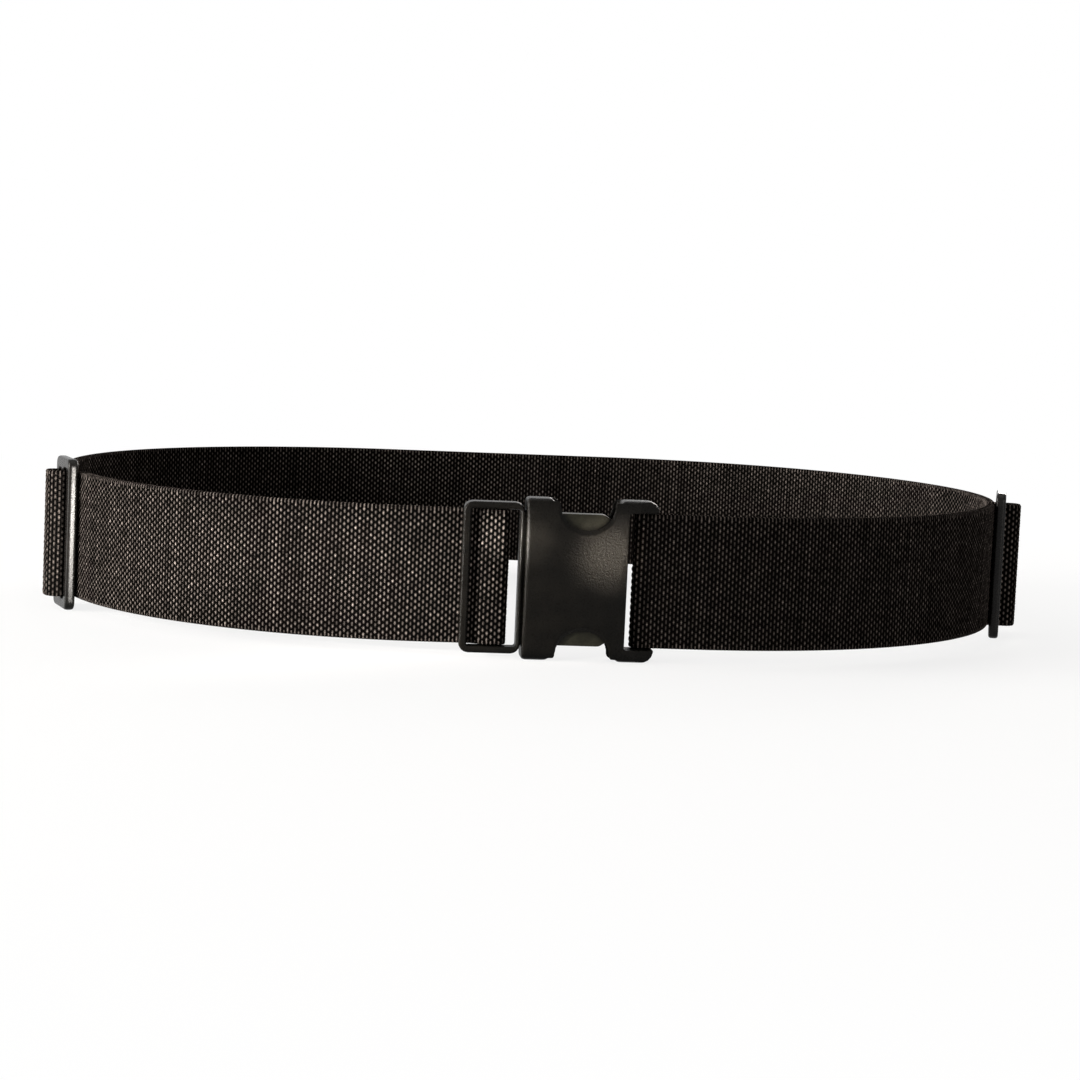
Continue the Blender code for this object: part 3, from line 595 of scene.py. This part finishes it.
def webbing_material():
    """Black yarn: painted shade in the pits, a painted warm sheen on the floats, with fine filaments along
    the strap.
    """
    material = bpy.data.materials.new("black_webbing")
    tree = Tree(material)
    strand = tree.add("ShaderNodeAttribute", {"attribute_name": "strand"}).outputs["Vector"]
    rise = tree.add("ShaderNodeAttribute", {"attribute_name": "relief"}).outputs["Fac"]
    tone = tree.noise(tree.mapped(strand, TONE_MARKS), 1.0, YARN_DETAIL)
    yarn = tree.mixed(tree.ranged(tone, NOISE_MIDDLE, FULL), YARN_SHEEN_DARK, YARN_SHEEN_LIGHT)
    sheen_share = tree.math("POWER", tree.ranged(rise, SHEEN_RELIEF, FULL), SHEEN_CONTRAST)
    filament = tree.noise(tree.mapped(strand, FILAMENT_MARKS), 1.0, YARN_DETAIL)
    tree.fill(
        tree.nodes["Principled BSDF"],
        # Painted shade in the pits and painted sheen on the floats, following the relief
        Base_Color=tree.mixed(sheen_share, PAINTED_PIT_SHADE, yarn),
        Roughness=tree.ranged(filament, NOISE_MIDDLE, YARN_ROUGHNESS),
        Specular_IOR_Level=0.0,
        Normal=tree.bump(filament, FILAMENT_STRENGTH, FILAMENT_DEPTH),
    )
    return material


def plastic_material(name, dark, light, rough, grain_size, grain, gloss):
    """Black moulded plastic: a fine spark-eroded grain, faint mottling, painted shade in nooks, and worn
    edges with a painted highlight.
    """
    material = bpy.data.materials.new(name)
    tree = Tree(material)
    place = tree.add("ShaderNodeTexCoord").outputs["Object"]
    mottle = tree.ranged(tree.noise(place, MOTTLE_SCALE, MOTTLE_DETAIL), MOTTLE_MIDDLE, FULL)
    edge = tree.add("ShaderNodeNewGeometry").outputs["Pointiness"]
    # Edges: worn smoother and with less grain, and paler, partly from wear and partly as a painted highlight
    wear_and_highlight = tree.ranged(edge, WEAR_AND_HIGHLIGHT_POINTINESS, FULL)
    pale_wear_and_highlight = [WEAR_AND_HIGHLIGHT_PALE * part for part in light]
    surface = tree.mixed(wear_and_highlight, tree.mixed(mottle, dark, light), pale_wear_and_highlight)
    # Painted shade: darker where little round a point is open, in nooks and between parts
    nook = tree.add("ShaderNodeAmbientOcclusion", {"samples": NOOK_SAMPLES}, Distance=NOOK_REACH)
    unshaded_share = tree.ranged(nook.outputs["AO"], NOOK_OPENNESS, NOOK_SHARE)
    fine = tree.noise(place, 1 / grain_size, GRAIN_DETAIL, GRAIN_HARSHNESS)
    grained = tree.ranged(fine, NOISE_MIDDLE, (rough - ROUGH_LESS, rough + ROUGH_MORE))
    grain_left = tree.ranged(wear_and_highlight, FULL, (grain, WORN_GRAIN * grain))
    tree.fill(
        tree.nodes["Principled BSDF"],
        Base_Color=tree.mixed(unshaded_share, PAINTED_NOOK_SHADE, surface),
        Roughness=tree.ranged(wear_and_highlight, FULL, (grained, WORN_ROUGH * rough)),
        Specular_IOR_Level=gloss,
        Normal=tree.bump(fine, grain_left, GRAIN_DEPTH),
    )
    return material


def seen_directly(tree):
    """1 for rays that show a surface to the camera, also by reflection or through glass, 0 for light."""
    path = tree.add("ShaderNodeLightPath")
    seen = path.outputs["Is Camera Ray"]
    for other in ("Is Glossy Ray", "Is Transmission Ray"):
        seen = tree.math("MAXIMUM", seen, path.outputs[other])
    return seen


def floor_material():
    """A pale floor: it takes the shadow near the belt and turns into the white surroundings farther off."""
    material = bpy.data.materials.new("pale_floor")
    tree = Tree(material)
    tree.nodes.remove(tree.nodes["Principled BSDF"])
    place = tree.add("ShaderNodeTexCoord").outputs["Object"]
    distance = tree.add("ShaderNodeVectorMath", {"operation": "LENGTH"}, Vector=place).outputs["Value"]
    glow_share = tree.ranged(distance, FLOOR_REACH, FLOOR_GLOW)
    matte = tree.add("ShaderNodeBsdfDiffuse", Color=FLOOR_COLOR)
    glow = tree.add("ShaderNodeEmission", Color=WHITE, Strength=1.0)
    mix = tree.add("ShaderNodeMixShader", Fac=tree.math("MULTIPLY", seen_directly(tree), glow_share))
    tree.join(matte.outputs["BSDF"], mix.inputs[1])
    tree.join(glow.outputs["Emission"], mix.inputs[2])
    tree.fill(tree.nodes["Material Output"], Surface=mix.outputs["Shader"])
    return material


# Hardware

def moulded(name, node, voxel, passes, material):
    """A fine copy of a CAD piece, with its edges rounded as on a moulding. It stands for that piece."""
    mesh = frame["nodes"][node].data.copy()
    shape = bmesh.new()
    shape.from_mesh(mesh)
    bmesh.ops.remove_doubles(shape, verts=shape.verts, dist=WELD_DISTANCE)
    shape.to_mesh(mesh)
    shape.free()
    obj = linked(bpy.data.objects.new(name, mesh))
    fine = obj.modifiers.new("fine", "REMESH")
    fine.mode = "VOXEL"
    fine.voxel_size = voxel
    soft = obj.modifiers.new("soft", "SMOOTH")
    soft.factor = SMOOTHING
    soft.iterations = passes
    graph = bpy.context.evaluated_depsgraph_get()
    final = bpy.data.meshes.new_from_object(obj.evaluated_get(graph))
    obj.modifiers.clear()
    obj.data = final
    bpy.data.meshes.remove(mesh)
    final.name = name
    final.materials.clear()
    final.materials.append(material)
    final.shade_smooth()
    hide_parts(node)
    return obj


def fall_away(mesh):
    """Let the front of the socket's plate curve back towards the strap."""
    points = np.empty(3 * len(mesh.vertices), dtype=np.float32)
    mesh.vertices.foreach_get("co", points)
    points = points.reshape(-1, 3)
    share = np.clip((points[:, 0] - FALL_START) / (FALL_END - FALL_START), 0, 1)
    depth = np.clip((FRONT_Y - points[:, 1] - SOCKET_SKIN) / (SOCKET_FRONT - SOCKET_SKIN), 0, 1)
    height = (points[:, 2] - MID_HEIGHT) / SOCKET_HALF_HEIGHT
    points[:, 1] += (FALL_DROP * share**2 + CROWN_DROP * height**2) * depth
    mesh.vertices.foreach_set("co", points.ravel())
    mesh.update()


def make_hardware():
    """The two halves of the buckle, its catches and the two slides."""
    plastics = {name: plastic_material(name, **look) for name, look in PLASTICS.items()}
    for name, node, body, plastic, voxel, passes in HARDWARE:
        obj = moulded(name, node, voxel, passes, plastics[plastic])
        if node == "buckle_socket":
            fall_away(obj.data)
        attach(obj, body)


# Strap


def make_side(side, label, slide_body, behind, material):
    """The lengths of strap at one side that follow its slide, from the tail to the side of the waist."""
    tail_end = 0 if side < 0 else len(strap["run"]) - 1
    inner_foot = column_at(side, "inner", FOOT_RUN)
    outer_foot = column_at(side, "outer", FOOT_RUN)
    outer_rear = column_at(side, "outer", REAR_RUN)
    rear_cut = column_at(side, "outer", REAR_CUT_RUN)
    tail = woven(label + "_tail_strap", (tail_end, inner_foot), material)
    front = woven(label + "_front_strap", (inner_foot, outer_foot), material)
    over_bar = woven(label + "_hump_strap", (outer_foot, outer_rear), material)
    rear = woven(label + "_rear_strap", (outer_rear, rear_cut), material)
    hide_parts(label + "_tail_webbing")
    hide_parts(label + "_front_webbing")
    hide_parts(label + "_hump_webbing")
    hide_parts(behind)
    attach(tail, slide_body)
    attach(over_bar, slide_body)
    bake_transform(front)
    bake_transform(rear)


def make_strap(material):
    """The whole strip of webbing, in lengths that meet face to face."""
    make_side(-1, "left", "left_slide", "left_side_webbing", material)
    make_side(1, "right", "right_slide", "back_webbing", material)
    rear_left = column_at(-1, "outer", REAR_CUT_RUN)
    side_left = column_at(-1, "outer", SIDE_CUT_RUN)
    middle = column_at(1, "outer", HALF_LOOP)
    rear_right = column_at(1, "outer", REAR_CUT_RUN)
    side = woven("left_side_strap", (rear_left, side_left), material)
    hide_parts("left_side_webbing", "back_webbing")
    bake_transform(side)
    back_lengths = {"left_back_strap": (side_left, middle), "right_back_strap": (middle, rear_right)}
    for name, ends in back_lengths.items():
        back = woven(name, ends, material)
        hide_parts("back_webbing")
        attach(back, "belt")


# Stage

def make_floor():
    """A wide level floor under the belt."""
    shape = bmesh.new()
    bmesh.ops.create_grid(
        shape, x_segments=FLOOR_SEGMENTS, y_segments=FLOOR_SEGMENTS, size=FLOOR_HALF_WIDTH
    )
    mesh = bpy.data.meshes.new("floor")
    shape.to_mesh(mesh)
    shape.free()
    mesh.materials.append(floor_material())
    linked(bpy.data.objects.new("floor", mesh))


def place_lamp(name, lamp, place, target):
    """Put a lamp into the scene, aimed at its target and not seen itself."""
    obj = linked(bpy.data.objects.new(name, lamp))
    obj.visible_camera = False
    obj.location = place
    obj.rotation_euler = (Vector(target) - Vector(place)).to_track_quat("-Z", "Y").to_euler()


def make_lamps():
    """Soft boxes round the belt, and spots that reach only what they are aimed at."""
    for name, place, width, power in SOFT_BOXES:
        lamp = bpy.data.lights.new(name, "AREA")
        lamp.shape = "SQUARE"
        lamp.size = width
        lamp.energy = power
        lamp.color = WARM
        place_lamp(name, lamp, place, SOFT_BOX_TARGET)
    for name, place, target, angle, radius, power, tint in SPOTS:
        lamp = bpy.data.lights.new(name, "SPOT")
        lamp.spot_size = math.radians(angle)
        lamp.spot_blend = 1.0
        lamp.shadow_soft_size = radius
        lamp.energy = power
        lamp.color = tint
        place_lamp(name, lamp, place, target)


def make_world():
    """White to the camera and in reflections. As light, bright behind and to the left, and dim in front."""
    world = bpy.data.worlds.new("studio")
    bpy.context.scene.world = world
    tree = Tree(world)
    turned = tree.add("ShaderNodeVectorMath", {"operation": "DOT_PRODUCT"})
    tree.join(tree.add("ShaderNodeTexCoord").outputs["Generated"], turned.inputs[0])
    tree.join(BRIGHT_SIDE, turned.inputs[1])
    level = tree.ranged(turned.outputs["Value"], BRIGHT_TURN, BRIGHT_LEVELS)
    strength = tree.math("MAXIMUM", seen_directly(tree), level)
    tree.fill(tree.nodes["Background"], Color=WHITE, Strength=strength)


def make_camera():
    """The photograph's point of view."""
    azimuth, elevation = math.radians(CAMERA_AZIMUTH), math.radians(CAMERA_ELEVATION)
    away = Vector((
        math.sin(azimuth) * math.cos(elevation),
        -math.cos(azimuth) * math.cos(elevation),
        math.sin(elevation),
    ))
    place = Vector((0, RING_Y, MID_HEIGHT)) + away * CAMERA_DISTANCE
    aimed = (CAMERA_TARGET - place).to_track_quat("-Z", "Y").to_matrix().to_4x4()
    rolled = Matrix.Rotation(math.radians(CAMERA_ROLL), 4, "Z")
    camera = bpy.data.cameras.new("camera")
    camera.lens = CAMERA_LENS
    camera.sensor_width = CAMERA_SENSOR
    camera.clip_start = CAMERA_NEAREST
    camera.clip_end = CAMERA_FARTHEST
    obj = linked(bpy.data.objects.new("camera", camera))
    obj.matrix_world = Matrix.Translation(place) @ aimed @ rolled
    bpy.context.scene.camera = obj


make_strap(webbing_material())
make_hardware()
make_floor()
make_lamps()
make_world()
make_camera()

bpy.context.scene.view_settings.view_transform = "Standard"
